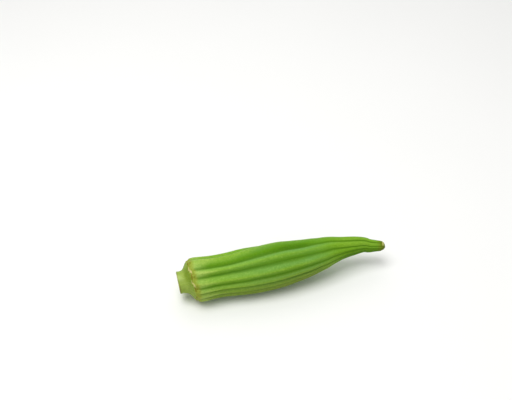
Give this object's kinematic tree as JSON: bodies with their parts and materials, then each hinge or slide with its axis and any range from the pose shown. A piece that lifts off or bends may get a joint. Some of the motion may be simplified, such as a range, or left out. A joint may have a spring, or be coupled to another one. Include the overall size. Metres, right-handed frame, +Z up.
{
  "type": "okra pod",
  "caption": "Fresh green okra pod with raised lengthwise ridges, a scar ring below a short cut stalk and a tapering curved tip, lying on its side.",
  "frame": {"origin": "on the surface that the pod lies on, under the middle of its box", "axes": "+X along the pod from the cut stalk to the tip, +Z up"},
  "size_m": [0.0988, 0.0212, 0.0206],
  "materials": {
    "okra_skin": "fresh green plant skin, satin, with a fine down"
  },
  "bodies": {
    "root": {"okra_pod": "okra_skin"}
  },
  "joints": []
}
